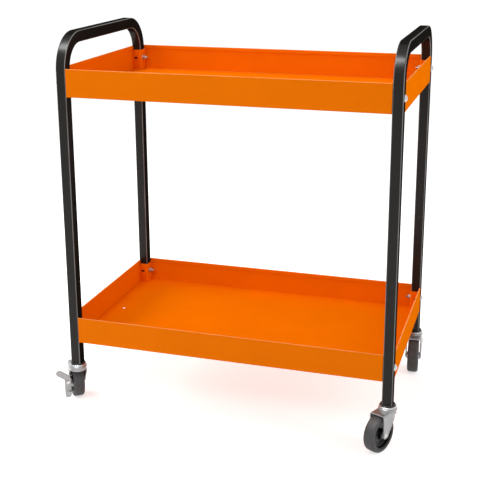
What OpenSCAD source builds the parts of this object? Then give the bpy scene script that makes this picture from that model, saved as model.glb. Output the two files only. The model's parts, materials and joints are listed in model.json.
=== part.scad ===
// Two-tray tool cart on four swivel castors.
// Origin on the floor under the middle of the cart, X along its length, front at -Y, Z up.
// The castors stand turned as a parked cart leaves them.

/* [Overall] */
// Length over the two end frames
cart_l = 730; // [600:10:900]
// Depth over the legs of one frame
cart_w = 430; // [340:10:560]

/* [End frames] */
// Tube size along the length of the cart
tube_x = 22; // [20:1:30]
// Tube size in the plane of the bend
tube_y = 25; // [20:1:35]
// Wall of the tube
tube_wall = 1.5; // [1:0.1:2]
// Outer radius of the tube's own corners
tube_corner_r = 2.5; // [2:0.1:4]
// Outer radius of the two bends of a frame
bend_r = 79; // [60:1:120]
// Height of the handle over the upper rim
handle_rise = 73; // [60:1:110]
// Length of leg below the lower tray
leg_stub = 52; // [30:1:80]

/* [Trays] */
// Height of the tray sides
tray_lip = 60; // [45:1:90]
// Height from rim to rim
tray_pitch = 558; // [420:1:640]
// Sheet thickness
sheet_t = 1; // [0.8:0.1:1.5]
// Outer radius of a fold in the sheet
fold_r = 2.5; // [2:0.1:3]
// Width of the hem along a rim
hem_w = 3.2; // [3:0.1:4.5]
// Depth of the hem along a rim
hem_h = 9; // [6:1:14]
// Height of the rim over the top of a corner pocket
pocket_drop = 10; // [5:1:16]
// Gap between a leg and its corner pocket
pocket_fit = 0.3; // [0.1:0.1:0.5]
// Length of the slot in a corner pocket
slot_l = 9; // [7:0.5:12]
// Height of the slot in a corner pocket
slot_h = 5; // [4:0.5:6]
// Diameter of the hanging hole in a tray floor
hang_d = 6; // [4:0.5:10]
// Distance of the hanging hole from the left end
hang_x = 36; // [30:1:120]
// Distance of the hanging hole from the back
hang_y = 210; // [80:1:220]

/* [Fasteners] */
// Thread diameter of the tray bolts
bolt_d = 6; // [5:1:8]
// Play of a bolt in its hole, on the radius
bolt_play = 0.25; // [0.1:0.05:0.5]
// Diameter of the dome head
dome_d = 15; // [12:0.5:18]
// Height of the dome head
dome_h = 5.5; // [4:0.5:7]
// Width across flats of the tray nuts
nut_af = 10; // [8:1:13]
// Height of the tray nuts
nut_h = 5; // [4:0.5:7]
// Diameter of the tray washers
washer_d = 14; // [12:0.5:16]
// Thickness of the tray washers
washer_t = 1.2; // [1:0.1:1.6]
// Thread that stands out past a nut
bolt_end = 5; // [2:0.5:8]
// Diameter of the spare holes for a third tray
spare_d = 7; // [5:0.5:9]
// Depth of the spare holes below the upper bolts
spare_drop = 265; // [150:1:330]

/* [Leg plugs] */
// Diameter of the plug flange
plug_d = 35; // [32:0.5:40]
// Thickness of the plug flange
plug_t = 3; // [2:0.5:5]
// Length of the plug inside the leg
plug_l = 28; // [20:1:40]
// Gap between a plug and the tube, each side
plug_fit = 0.2; // [0.1:0.05:0.4]

/* [Castors] */
// Diameter of the wheels
wheel_d = 80; // [70:1:90]
// Width of the tyre
tyre_w = 25; // [20:1:28]
// Thickness of the tyre
tyre_t = 9; // [6:0.5:12]
// Radius of the tyre's shoulders
shoulder_r = 5; // [3:0.5:6]
// Distance from the swivel axis to the axle
trail = 30; // [26:1:34]
// Gap between tyre and fork crown
crown_gap = 3; // [2.5:0.5:6]
// Sheet thickness of the fork
fork_t = 2.5; // [2:0.1:3]
// Width over the fork legs
fork_w = 35.5; // [34:0.5:40]
// Outer radius of the fork's bends
fork_bend_r = 5; // [4:0.5:7]
// Radius of the fork leg round the axle
fork_tip_r = 8; // [7:0.5:10]
// Lean of the front edge of a fork leg
fork_lean = 28; // [20:1:32]
// Height of the turned-out rims on a fork leg
fork_rim = 3.5; // [2:0.5:5]
// Diameter of the lower race
race_d = 40; // [38:0.5:44]
// Height of the lower race
race_h = 3.5; // [3:0.1:5]
// Height of the upper race cup
cup_h = 3.6; // [3.5:0.1:6]
// Gap between the two races
race_gap = 0.4; // [0.3:0.1:0.8]
// Diameter of the bearing balls
ball_d = 4; // [3.5:0.1:4]
// Diameter of the ring of balls
ball_ring_d = 26; // [24:0.5:28]
// Number of balls
balls = 14; // [8:1:16]
// Diameter of the stem
stem_d = 10; // [8:0.5:10]
// Radial gap of the turning fits
run_fit = 0.06; // [0.03:0.01:0.1]
// Diameter of the axle rivet
axle_d = 8; // [6:0.5:8]
// Diameter of the axle rivet's heads
axle_head_d = 11; // [9.5:0.5:13]
// Height of the axle rivet's heads
axle_head_h = 2.2; // [1.5:0.1:3]
// Wall of the axle sleeve
sleeve_t = 2; // [1.5:0.1:2.5]
// Distance from the hub to the fork, each side
hub_side = 3.5; // [2:0.1:5]
// Side play of the hub between its spacers
hub_play = 0.3; // [0.2:0.1:0.6]

/* [Brake] */
// Thickness of the brake lever
lever_t = 3; // [2:0.1:3.5]
// Half width of the lever's arms
lever_r = 7.3; // [6:0.1:7.5]
// Diameter of the pivot rivet
pivot_d = 5; // [4:0.5:6]
// Height of the pivot over the axle
pivot_rise = 6; // [5:0.5:6.5]
// Distance of the pivot from the fork leg
pivot_out = 7; // [6:0.5:9]
// Distance of the lever ahead of the axle
lever_ahead = 27; // [25:0.5:28]
// Height of the elbow between the arms over the axle
elbow_rise = 16; // [12:0.5:18]
// Reach of the upper arm, sideways
arm_out = 19; // [14:1:24]
// Reach of the upper arm, upwards
arm_up = 14; // [10:1:20]
// Reach of the lower arm, downwards
arm_down = 41; // [36:1:43]
// Drop of the brake lug below the axle
lug_drop = 19; // [17:0.5:21]
// Gap between the brake lug and the tyre
lug_gap = 3.8; // [3:0.1:4.5]

/* [Hidden] */

$fn = 48;
eps = 0.01;

// Heights, from the floor up
axle_z = wheel_d / 2;
crown_z = wheel_d + crown_gap + fork_t;
race_z = crown_z + race_h;
cup_z = race_z + race_gap;
plug_z = cup_z + cup_h;
leg_z = plug_z + plug_t;
lower_z = leg_z + leg_stub;
upper_z = lower_z + tray_pitch;
handle_z = upper_z + tray_lip + handle_rise;
bolt_rise = tray_lip / 2;
spare_z = upper_z + bolt_rise - spare_drop;

// Plan
half_l = cart_l / 2;
half_w = cart_w / 2;
leg_x = half_l - tube_x / 2;
leg_y = half_w - tube_y / 2;
notch_x = tube_x + pocket_fit;
notch_y = tube_y + pocket_fit;
wall_x = half_l - notch_x;
wall_y = half_w - notch_y;

// Fork and wheel
gap_w = fork_w - 2 * fork_t;
race_r = race_d / 2;
core_r = axle_z - tyre_t;
sleeve_r = axle_d / 2 + run_fit + sleeve_t;
ball_floor = race_z - 2.3;
pivot_z = axle_z + pivot_rise;
pivot_x = -fork_w / 2 - pivot_out;
lever_y = trail - lever_ahead;
tab_y = lever_y + lever_t + 0.3;
tab_t = 2.5;
rim_low = pivot_z + pivot_d + 1;

// Each corner: side along X, side along Y, turn of the castor
FRONT_LEFT = [-1, -1, 37];
FRONT_RIGHT = [1, -1, 155];
BACK_LEFT = [-1, 1, 20];
BACK_RIGHT = [1, 1, 185];

// The castors reach further on one side than on the other, and this centres the whole cart
function lever_reach(t) = cos(t) * (arm_out - pivot_x + lever_r) + sin(t) * (lever_y + lever_t);
function fork_reach(t) = -trail * sin(t) - cos(t) * (fork_w / 2 + fork_rim) + fork_tip_r * abs(sin(t));
function tyre_reach(t) = (trail + axle_z - shoulder_r) * abs(cos(t))
    + (tyre_w / 2 - shoulder_r) * abs(sin(t)) + shoulder_r;
shift_x = (max(lever_reach(FRONT_LEFT[2]), lever_reach(BACK_LEFT[2])) - fork_reach(BACK_RIGHT[2])) / 2;
shift_y = (tyre_reach(FRONT_RIGHT[2]) - tyre_reach(BACK_LEFT[2])) / 2;

ORANGE = [0.93, 0.42, 0.02];
BLACK = [0.13, 0.13, 0.12];
ZINC = [0.78, 0.79, 0.8];
GREY = [0.3, 0.3, 0.31];

module placed() {
    translate([shift_x, shift_y, 0]) children();
}

module at_corner(c) {
    placed() translate([c[0] * leg_x, c[1] * leg_y, 0]) children();
}

module at_castor(c) {
    at_corner(c) rotate([0, 0, c[2]]) children();
}

module along_x() {
    rotate([0, 90, 0]) children();
}

module rounded(size, r) {
    square([size[0] - 2 * r, size[1]], center = true);
    square([size[0], size[1] - 2 * r], center = true);
    for (i = [-1, 1], j = [-1, 1])
        translate([i * (size[0] / 2 - r), j * (size[1] / 2 - r)]) circle(r);
}

// End frames
module tube_section(inset) {
    rounded([tube_x - 2 * inset, tube_y - 2 * inset], tube_corner_r - inset);
}

module frame_bar(inset, leg_drop) {
    bend_mid = bend_r - tube_y / 2;
    bend_z = handle_z - bend_r;
    for (s = [-1, 1]) {
        translate([0, s * leg_y, leg_z - leg_drop])
            linear_extrude(bend_z - leg_z + leg_drop) tube_section(inset);
        translate([0, s * (half_w - bend_r), bend_z])
            rotate([90, 0, s * 90])
                rotate_extrude(angle = 90, $fn = 96)
                    translate([bend_mid, 0]) rotate(90) tube_section(inset);
    }
    translate([0, half_w - bend_r, handle_z - tube_y / 2])
        rotate([90, 0, 0]) linear_extrude(cart_w - 2 * bend_r) tube_section(inset);
}

module leg_hole(y, z, d) {
    translate([0, y, z]) along_x() cylinder(d = d, h = tube_x + 4, center = true);
}

module end_frame() {
    color(BLACK) difference() {
        frame_bar(0, 0);
        frame_bar(tube_wall, 1);
        for (s = [-1, 1]) {
            leg_hole(s * leg_y, lower_z + bolt_rise, bolt_d + 2 * bolt_play);
            leg_hole(s * leg_y, upper_z + bolt_rise, bolt_d + 2 * bolt_play);
            leg_hole(s * leg_y, spare_z, spare_d);
        }
    }
}

// Trays: a floor with a folded upstand on each side and a pocket at each corner
module wall_section() {
    rim_r = hem_w / 2;
    translate([0, fold_r]) square([sheet_t, tray_lip - fold_r - rim_r]);
    translate([fold_r, fold_r]) intersection() {
        difference() {
            circle(fold_r);
            circle(fold_r - sheet_t);
        }
        translate([-fold_r, -fold_r]) square(fold_r);
    }
    translate([rim_r, tray_lip - rim_r]) intersection() {
        difference() {
            circle(rim_r);
            circle(rim_r - sheet_t);
        }
        translate([-rim_r, 0]) square([2 * rim_r, rim_r]);
    }
    translate([hem_w - sheet_t, tray_lip - hem_h]) square([sheet_t, hem_h - rim_r]);
}

module side_wall(length) {
    rotate([90, 0, 90]) translate([0, 0, -length / 2]) linear_extrude(length) wall_section();
}

module tray_floor() {
    linear_extrude(sheet_t) {
        square([2 * (half_l - fold_r), 2 * wall_y], center = true);
        square([2 * wall_x, 2 * (half_w - fold_r)], center = true);
    }
}

module pocket(i, j) {
    pocket_h = tray_lip - pocket_drop;
    translate([i > 0 ? wall_x - sheet_t : -wall_x, j > 0 ? wall_y - sheet_t : -half_w + sheet_t, 0])
        cube([sheet_t, half_w - wall_y, pocket_h]);
    translate([i > 0 ? wall_x - sheet_t : -half_l + sheet_t, j > 0 ? wall_y - sheet_t : -wall_y, 0])
        cube([half_l - wall_x, sheet_t, pocket_h]);
}

module slot(length, height) {
    square([length - height, height], center = true);
    for (s = [-1, 1])
        translate([s * (length - height) / 2, 0]) circle(d = height);
}

module tray(z) {
    color(ORANGE) translate([0, 0, z]) difference() {
        union() {
            tray_floor();
            translate([0, -half_w, 0]) side_wall(2 * wall_x);
            rotate(180) translate([0, -half_w, 0]) side_wall(2 * wall_x);
            rotate(90) translate([0, -half_l, 0]) side_wall(2 * wall_y);
            rotate(-90) translate([0, -half_l, 0]) side_wall(2 * wall_y);
            for (i = [-1, 1], j = [-1, 1]) pocket(i, j);
        }
        for (i = [-1, 1], j = [-1, 1]) {
            translate([i * wall_x, j * leg_y, bolt_rise]) along_x()
                cylinder(r = bolt_d / 2 + bolt_play, h = 8, center = true);
            translate([i * leg_x, j * wall_y, bolt_rise]) rotate([90, 0, 0])
                translate([0, 0, -4]) linear_extrude(8) slot(slot_l, slot_h);
        }
        translate([-half_l + hang_x, half_w - hang_y, 0])
            cylinder(d = hang_d, h = 4 * sheet_t, center = true);
    }
}

// Tray bolts, each through a leg and its pocket, with washer and nut inside
grip = notch_x + sheet_t;

module at_bolts() {
    for (z = [lower_z, upper_z], i = [-1, 1], j = [-1, 1])
        translate([i * half_l, j * leg_y, z + bolt_rise]) rotate([0, i * 90, 0]) children();
}

module tray_bolt() {
    ball_r = (dome_d * dome_d / 4 + dome_h * dome_h) / (2 * dome_h);
    intersection() {
        translate([0, 0, dome_h - ball_r]) sphere(ball_r);
        cylinder(d = dome_d, h = dome_h);
    }
    translate([0, 0, -grip - washer_t - nut_h - bolt_end])
        cylinder(d = bolt_d, h = grip + washer_t + nut_h + bolt_end + eps);
}

module tray_bolts() {
    color(ZINC) at_bolts() tray_bolt();
}

module tray_washers() {
    color(ZINC) at_bolts() translate([0, 0, -grip - washer_t]) difference() {
        cylinder(d = washer_d, h = washer_t);
        translate([0, 0, -1]) cylinder(r = bolt_d / 2 + bolt_play, h = washer_t + 2);
    }
}

module hex_nut(af, h, bore_r) {
    difference() {
        cylinder(d = af / cos(30), h = h, $fn = 6);
        translate([0, 0, -1]) cylinder(r = bore_r, h = h + 2);
    }
}

module tray_nuts() {
    color(ZINC) at_bolts() translate([0, 0, -grip - washer_t - nut_h]) hex_nut(nut_af, nut_h, bolt_d / 2);
}

// Leg plug: a spigot inside the tube over a round flange
module leg_plug() {
    plug_x = tube_x - 2 * (tube_wall + plug_fit);
    plug_y = tube_y - 2 * (tube_wall + plug_fit);
    color(BLACK) difference() {
        union() {
            translate([0, 0, plug_z]) cylinder(d = plug_d, h = plug_t);
            translate([0, 0, leg_z - eps]) linear_extrude(plug_l) rounded([plug_x, plug_y], 1);
        }
        translate([0, 0, plug_z - 1]) cylinder(d = stem_d, h = plug_t + plug_l + 2);
    }
}

// Stem: riveted under the fork, held in the plug
module stem() {
    head_h = 3;
    color(ZINC) {
        translate([0, 0, crown_z - fork_t - 0.3 - head_h]) cylinder(d = stem_d + 6, h = head_h);
        translate([0, 0, crown_z - fork_t - 0.3 - eps]) cylinder(d = stem_d, h = leg_z + plug_l - crown_z);
    }
}

// Fixed upper race, a pressed cup over the balls
module race_cup() {
    groove_in = ball_ring_d / 2 - ball_d / 2 - 0.3;
    groove_out = ball_ring_d / 2 + ball_d / 2 + 0.3;
    groove_z = ball_floor + ball_d + 0.3;
    cup_r = race_r - 1;
    color(ZINC) rotate_extrude($fn = 96) polygon([
        [stem_d / 2, cup_z], [groove_in - 1, cup_z], [groove_in, groove_z], [groove_out, groove_z],
        [groove_out + 0.6, cup_z], [cup_r - 0.3, cup_z], [cup_r, cup_z + 0.6],
        [cup_r - 0.4, plug_z - 1.2], [cup_r - 1.6, plug_z], [stem_d / 2, plug_z]
    ]);
}

module ball_race() {
    color(ZINC) for (i = [0:balls - 1])
        rotate(i * 360 / balls) translate([ball_ring_d / 2, 0, ball_floor + ball_d / 2])
            sphere(d = ball_d, $fn = 24);
}

// Fork: one pressing, its two legs folded down from the crown
module leg_outline(r) {
    lean_x = cos(fork_lean);
    lean_z = sin(fork_lean);
    run = (crown_z - axle_z + r * lean_z) / lean_x;
    foot = [trail - r * lean_x, axle_z - r * lean_z];
    translate([trail, axle_z]) circle(r);
    polygon([foot, [foot[0] - run * lean_z, crown_z], [trail + r, crown_z], [trail + r, axle_z]]);
}

module fold_section() {
    module arch(w, top, r) {
        translate([-w / 2, 0]) square([w, top - r]);
        translate([-w / 2 + r, 0]) square([w - 2 * r, top]);
        for (s = [-1, 1]) translate([s * (w / 2 - r), top - r]) circle(r);
    }
    difference() {
        arch(fork_w, crown_z, fork_bend_r);
        translate([0, -1]) arch(gap_w, crown_z - fork_t + 1, fork_bend_r - fork_t);
    }
}

module side_slab(x0, x1) {
    translate([x0, 0, 0]) rotate([90, 0, 90]) linear_extrude(x1 - x0) children();
}

module fork_rims() {
    rim_top = crown_z - fork_bend_r;
    for (s = [-1, 1])
        side_slab(s > 0 ? fork_w / 2 - eps : -fork_w / 2 - fork_rim, s > 0 ? fork_w / 2 + fork_rim : -fork_w / 2 + eps)
            intersection() {
                difference() {
                    leg_outline(fork_tip_r);
                    leg_outline(fork_tip_r - fork_t);
                }
                translate([-100, rim_low]) square([200, rim_top - rim_low]);
            }
}

module fork() {
    groove_in = ball_ring_d / 2 - ball_d / 2 - 0.2;
    groove_out = ball_ring_d / 2 + ball_d / 2 + 0.2;
    color(ZINC) difference() {
        union() {
            intersection() {
                translate([0, 60, 0]) rotate([90, 0, 0]) linear_extrude(120) fold_section();
                side_slab(-fork_w, fork_w) leg_outline(fork_tip_r);
            }
            fork_rims();
            translate([0, 0, crown_z - fork_t]) cylinder(r = race_r, h = fork_t, $fn = 96);
            translate([0, 0, crown_z]) rotate_extrude($fn = 96) polygon([
                [stem_d / 2 + 3, -eps], [race_r, -eps], [race_r, race_h - 0.8], [race_r - 0.8, race_h],
                [groove_out, race_h], [groove_out, race_h - 2.3], [groove_in, race_h - 2.3],
                [groove_in, race_h], [stem_d / 2 + 3, race_h]
            ]);
        }
        translate([0, 0, crown_z - fork_t - 1]) cylinder(r = stem_d / 2 + run_fit, h = fork_t + 2);
        translate([0, trail, axle_z]) along_x() cylinder(r = axle_d / 2 + run_fit, h = fork_w + 4, center = true);
    }
}

// Wheel core: rim, web and hub in one moulding
module wheel_core() {
    rim_in = core_r - 3;
    hub_r = sleeve_r + 4;
    rim_w = tyre_w / 2 - 1.2;
    web_w = 3;
    hub_w = gap_w / 2 - hub_side;
    color(BLACK) translate([0, trail, axle_z]) along_x() rotate_extrude($fn = 96) polygon([
        [sleeve_r + run_fit, -hub_w], [hub_r, -hub_w], [hub_r + 1, -web_w], [rim_in, -web_w],
        [rim_in + 1, -rim_w], [core_r, -rim_w], [core_r, rim_w], [rim_in + 1, rim_w],
        [rim_in, web_w], [hub_r + 1, web_w], [hub_r, hub_w], [sleeve_r + run_fit, hub_w]
    ]);
}

module tyre() {
    w = tyre_w / 2;
    color(GREY) translate([0, trail, axle_z]) along_x() rotate_extrude($fn = 96) intersection() {
        union() {
            translate([core_r - 1, -w]) square([tyre_t - shoulder_r + 1, tyre_w]);
            translate([core_r - 1, -w + shoulder_r]) square([tyre_t + 1, tyre_w - 2 * shoulder_r]);
            for (s = [-1, 1])
                translate([axle_z - shoulder_r, s * (w - shoulder_r)]) circle(shoulder_r);
        }
        translate([core_r, -w]) square([tyre_t, tyre_w]);
    }
}

module rivet_head(d, h) {
    ball_r = (d * d / 4 + h * h) / (2 * h);
    intersection() {
        translate([0, 0, h - ball_r]) sphere(ball_r);
        cylinder(d = d, h = h);
    }
}

module axle_rivet() {
    color(ZINC) translate([0, trail, axle_z]) along_x() {
        cylinder(d = axle_d, h = fork_w + 2 * eps, center = true);
        for (s = [0, 1])
            mirror([0, 0, s]) translate([0, 0, fork_w / 2]) rivet_head(axle_head_d, axle_head_h);
    }
}

module axle_sleeve() {
    color(ZINC) translate([0, trail, axle_z]) along_x() difference() {
        cylinder(r = sleeve_r, h = gap_w, center = true);
        cylinder(r = axle_d / 2 + run_fit, h = gap_w + 2, center = true);
    }
}

// Two rings on the sleeve that keep the hub in the middle
module hub_spacers() {
    ring_l = hub_side - hub_play;
    color(ZINC) translate([0, trail, axle_z]) along_x() for (s = [0, 1])
        mirror([0, 0, s]) translate([0, 0, gap_w / 2 - ring_l]) difference() {
            cylinder(r = sleeve_r + 2, h = ring_l);
            translate([0, 0, -1]) cylinder(r = sleeve_r, h = ring_l + 2);
        }
}

// Brake: an angle bracket on the fork leg, a rivet and a lever with two arms
module brake_bracket() {
    face_x = -fork_w / 2;
    low = pivot_z - pivot_d;
    high = rim_low;
    back = trail - axle_head_d / 2 - 1;
    color(ZINC) difference() {
        union() {
            translate([face_x - tab_t, tab_y, low]) cube([tab_t, back - tab_y, high - low]);
            translate([pivot_x - pivot_d, tab_y, low]) cube([face_x - pivot_x + pivot_d, tab_t, high - low]);
        }
        translate([pivot_x, tab_y - 1, pivot_z]) rotate([-90, 0, 0]) cylinder(d = pivot_d, h = tab_t + 2);
    }
}

module brake_rivet() {
    head_t = 1.3;
    color(ZINC) translate([pivot_x, 0, pivot_z]) rotate([-90, 0, 0]) {
        translate([0, 0, lever_y - 0.2 - head_t]) cylinder(d = pivot_d + 4, h = head_t);
        translate([0, 0, lever_y - 0.2 - eps]) cylinder(d = pivot_d, h = tab_y + tab_t - lever_y + 0.2 + 2 * eps);
        translate([0, 0, tab_y + tab_t]) cylinder(d = pivot_d + 4, h = head_t);
    }
}

module lever_plate() {
    translate([pivot_x, axle_z + elbow_rise]) {
        circle(lever_r);
        translate([-lever_r, -arm_down]) square([2 * lever_r, arm_down]);
        translate([0, -arm_down]) circle(lever_r);
        rotate(atan2(arm_up, -arm_out)) translate([0, -lever_r + 0.05])
            square([norm([arm_out, arm_up]), 2 * lever_r - 0.1]);
        translate([-arm_out, arm_up]) circle(lever_r);
    }
}

module brake_lever() {
    lug_x = -tyre_w / 2 - lug_gap;
    lug_h = 3;
    lug_l = 5;
    color(ZINC) difference() {
        union() {
            translate([0, lever_y + lever_t, 0]) rotate([90, 0, 0]) linear_extrude(lever_t) lever_plate();
            translate([pivot_x - 1, lever_y - lug_l, axle_z - lug_drop])
                cube([lug_x - pivot_x + 1, lug_l + lever_t / 2, lug_h]);
        }
        translate([pivot_x, lever_y - 1, pivot_z]) rotate([-90, 0, 0])
            cylinder(r = pivot_d / 2 + run_fit, h = lever_t + 2);
    }
}

placed() translate([-leg_x, 0, 0]) end_frame();  // left_frame
placed() translate([leg_x, 0, 0]) end_frame();  // right_frame
placed() tray(upper_z);  // upper_tray
placed() tray(lower_z);  // lower_tray
placed() tray_bolts();
placed() tray_washers();
placed() tray_nuts();

at_corner(FRONT_LEFT) leg_plug();  // front_left_leg_plug
at_corner(FRONT_RIGHT) leg_plug();  // front_right_leg_plug
at_corner(BACK_LEFT) leg_plug();  // back_left_leg_plug
at_corner(BACK_RIGHT) leg_plug();  // back_right_leg_plug

at_castor(FRONT_LEFT) stem();  // front_left_stem
at_castor(FRONT_LEFT) race_cup();  // front_left_race_cup
at_castor(FRONT_LEFT) ball_race();  // front_left_balls
at_castor(FRONT_LEFT) fork();  // front_left_fork
at_castor(FRONT_LEFT) wheel_core();  // front_left_wheel_core
at_castor(FRONT_LEFT) tyre();  // front_left_tyre
at_castor(FRONT_LEFT) axle_rivet();  // front_left_axle_rivet
at_castor(FRONT_LEFT) axle_sleeve();  // front_left_axle_sleeve
at_castor(FRONT_LEFT) hub_spacers();  // front_left_hub_spacers
at_castor(FRONT_LEFT) brake_bracket();  // front_left_brake_bracket
at_castor(FRONT_LEFT) brake_rivet();  // front_left_brake_rivet
at_castor(FRONT_LEFT) brake_lever();  // front_left_brake_lever

at_castor(FRONT_RIGHT) stem();  // front_right_stem
at_castor(FRONT_RIGHT) race_cup();  // front_right_race_cup
at_castor(FRONT_RIGHT) ball_race();  // front_right_balls
at_castor(FRONT_RIGHT) fork();  // front_right_fork
at_castor(FRONT_RIGHT) wheel_core();  // front_right_wheel_core
at_castor(FRONT_RIGHT) tyre();  // front_right_tyre
at_castor(FRONT_RIGHT) axle_rivet();  // front_right_axle_rivet
at_castor(FRONT_RIGHT) axle_sleeve();  // front_right_axle_sleeve
at_castor(FRONT_RIGHT) hub_spacers();  // front_right_hub_spacers

at_castor(BACK_LEFT) stem();  // back_left_stem
at_castor(BACK_LEFT) race_cup();  // back_left_race_cup
at_castor(BACK_LEFT) ball_race();  // back_left_balls
at_castor(BACK_LEFT) fork();  // back_left_fork
at_castor(BACK_LEFT) wheel_core();  // back_left_wheel_core
at_castor(BACK_LEFT) tyre();  // back_left_tyre
at_castor(BACK_LEFT) axle_rivet();  // back_left_axle_rivet
at_castor(BACK_LEFT) axle_sleeve();  // back_left_axle_sleeve
at_castor(BACK_LEFT) hub_spacers();  // back_left_hub_spacers
at_castor(BACK_LEFT) brake_bracket();  // back_left_brake_bracket
at_castor(BACK_LEFT) brake_rivet();  // back_left_brake_rivet
at_castor(BACK_LEFT) brake_lever();  // back_left_brake_lever

at_castor(BACK_RIGHT) stem();  // back_right_stem
at_castor(BACK_RIGHT) race_cup();  // back_right_race_cup
at_castor(BACK_RIGHT) ball_race();  // back_right_balls
at_castor(BACK_RIGHT) fork();  // back_right_fork
at_castor(BACK_RIGHT) wheel_core();  // back_right_wheel_core
at_castor(BACK_RIGHT) tyre();  // back_right_tyre
at_castor(BACK_RIGHT) axle_rivet();  // back_right_axle_rivet
at_castor(BACK_RIGHT) axle_sleeve();  // back_right_axle_sleeve
at_castor(BACK_RIGHT) hub_spacers();  // back_right_hub_spacers
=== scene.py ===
"""The looks of a two-tray tool cart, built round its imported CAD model.

Shapes are drawn in millimetres, and add_piece turns them into metres.
"""
import json
import math

import bmesh
import bpy
from mathutils import Matrix, Vector


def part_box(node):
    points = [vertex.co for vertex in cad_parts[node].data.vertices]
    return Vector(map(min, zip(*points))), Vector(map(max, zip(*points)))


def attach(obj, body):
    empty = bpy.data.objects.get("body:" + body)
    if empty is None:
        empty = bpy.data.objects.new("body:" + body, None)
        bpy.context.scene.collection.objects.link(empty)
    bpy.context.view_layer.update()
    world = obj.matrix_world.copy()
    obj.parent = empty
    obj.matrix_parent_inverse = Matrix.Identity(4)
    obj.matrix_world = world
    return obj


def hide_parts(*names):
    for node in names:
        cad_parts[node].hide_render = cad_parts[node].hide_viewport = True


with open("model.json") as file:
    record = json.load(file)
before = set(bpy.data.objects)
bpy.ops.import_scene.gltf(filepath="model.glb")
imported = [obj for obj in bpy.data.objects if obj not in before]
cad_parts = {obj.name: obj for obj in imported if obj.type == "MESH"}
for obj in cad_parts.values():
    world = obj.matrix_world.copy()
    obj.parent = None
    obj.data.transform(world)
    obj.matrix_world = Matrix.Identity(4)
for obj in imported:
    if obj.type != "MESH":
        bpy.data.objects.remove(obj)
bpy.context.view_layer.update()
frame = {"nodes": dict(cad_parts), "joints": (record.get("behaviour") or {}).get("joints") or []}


# Camera
# It stands to the right of the cart's front, above the handles, and looks down at the cart.
# A small shift of the lens puts the cart at the height it has in the photograph.
EYE = Vector((0.6425, -2.0965, 1.0728))
YAW, PITCH, ROLL = math.radians(17.435), math.radians(15.407), math.radians(0.32)
SENSOR, FOCAL_LENGTH, LENS_SHIFT = 36, 75.175, -0.1
ahead = Vector((-math.sin(YAW) * math.cos(PITCH), math.cos(YAW) * math.cos(PITCH),
                -math.sin(PITCH)))
level = Vector((math.cos(YAW), math.sin(YAW), 0))
down = ahead.cross(level)
across = math.cos(ROLL) * level + math.sin(ROLL) * down
down = math.cos(ROLL) * down - math.sin(ROLL) * level
lens = bpy.data.cameras.new("camera")
lens.sensor_width = SENSOR
lens.lens = FOCAL_LENGTH
lens.shift_y = LENS_SHIFT
camera = bpy.data.objects.new("camera", lens)
camera_turn = Matrix((across, -down, -ahead)).transposed().to_4x4()
camera.matrix_world = Matrix.Translation(EYE) @ camera_turn
bpy.context.scene.collection.objects.link(camera)
bpy.context.scene.camera = camera
bpy.context.scene.view_settings.view_transform = "Standard"


# Studio
# A white sky, a pale paper floor that keeps the cart's shadow, soft lamps over the cart and beside
# it, and a wide panel that only gloss picks up. Camera, gloss and glass see floor and sky as white.
SKY_LIGHT, SKY_SEEN, PAPER_LIGHT, PAPER_SEEN, FLOOR_REACH = 0.56, 1.0, 0.0, 0.58, 80


def seen_apart(tree, strength, lighting, seen):
    """Sets one strength for the light on the cart, and another for camera, gloss and glass."""
    path = tree.nodes.new("ShaderNodeLightPath")
    shown = tree.nodes.new("ShaderNodeMath")
    shown.operation = "MAXIMUM"
    shown_too = tree.nodes.new("ShaderNodeMath")
    shown_too.operation = "MAXIMUM"
    either = tree.nodes.new("ShaderNodeMapRange")
    either.inputs["To Min"].default_value = lighting
    either.inputs["To Max"].default_value = seen
    tree.links.new(path.outputs["Is Camera Ray"], shown.inputs[0])
    tree.links.new(path.outputs["Is Transmission Ray"], shown.inputs[1])
    tree.links.new(shown.outputs[0], shown_too.inputs[0])
    tree.links.new(path.outputs["Is Glossy Ray"], shown_too.inputs[1])
    tree.links.new(shown_too.outputs[0], either.inputs["Value"])
    tree.links.new(either.outputs["Result"], strength)


sky = bpy.data.worlds.new("sky")
sky.use_nodes = True
bpy.context.scene.world = sky
glow = sky.node_tree.nodes["Background"]
glow.inputs["Color"].default_value = (1, 1, 1, 1)
seen_apart(sky.node_tree, glow.inputs["Strength"], SKY_LIGHT, SKY_SEEN)

for name, spot, aim, wide, tall, power, sheen in (
    ("lamp_front", (-0.9, -2.0, 2.1), (0, 0, 0.4), 1.0, 1.0, 20, False),
    ("lamp_over", (-0.3, 0.2, 2.6), (0, 0, 0.5), 0.8, 0.8, 16, False),
    ("lamp_right_high", (2.1, -0.3, 1.7), (0, 0, 0.5), 0.8, 0.8, 6, False),
    ("lamp_right_low", (2.1, -0.3, 0.95), (0, 0, 0.15), 0.6, 0.6, 8, False),
    ("lamp_left", (-1.9, 0.3, 0.95), (0, 0, 0.15), 0.7, 0.7, 22, False),
    ("lamp_back", (-0.4, 2.7, 1.5), (0, 0, 0.4), 1.0, 1.0, 12, False),
    ("sheen_over", (-0.6, -0.9, 2.6), (-0.1, -0.2, 0.8), 1.4, 1.0, 140, True),
):
    lamp = bpy.data.lights.new(name, "AREA")
    lamp.shape = "RECTANGLE"
    lamp.size, lamp.size_y, lamp.energy = wide, tall, power
    holder = bpy.data.objects.new(name, lamp)
    holder.visible_camera = False
    holder.visible_diffuse = not sheen
    holder.visible_glossy = sheen
    turn = (Vector(spot) - Vector(aim)).to_track_quat("Z", "Y").to_matrix().to_4x4()
    holder.matrix_world = Matrix.Translation(spot) @ turn
    bpy.context.scene.collection.objects.link(holder)

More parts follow.
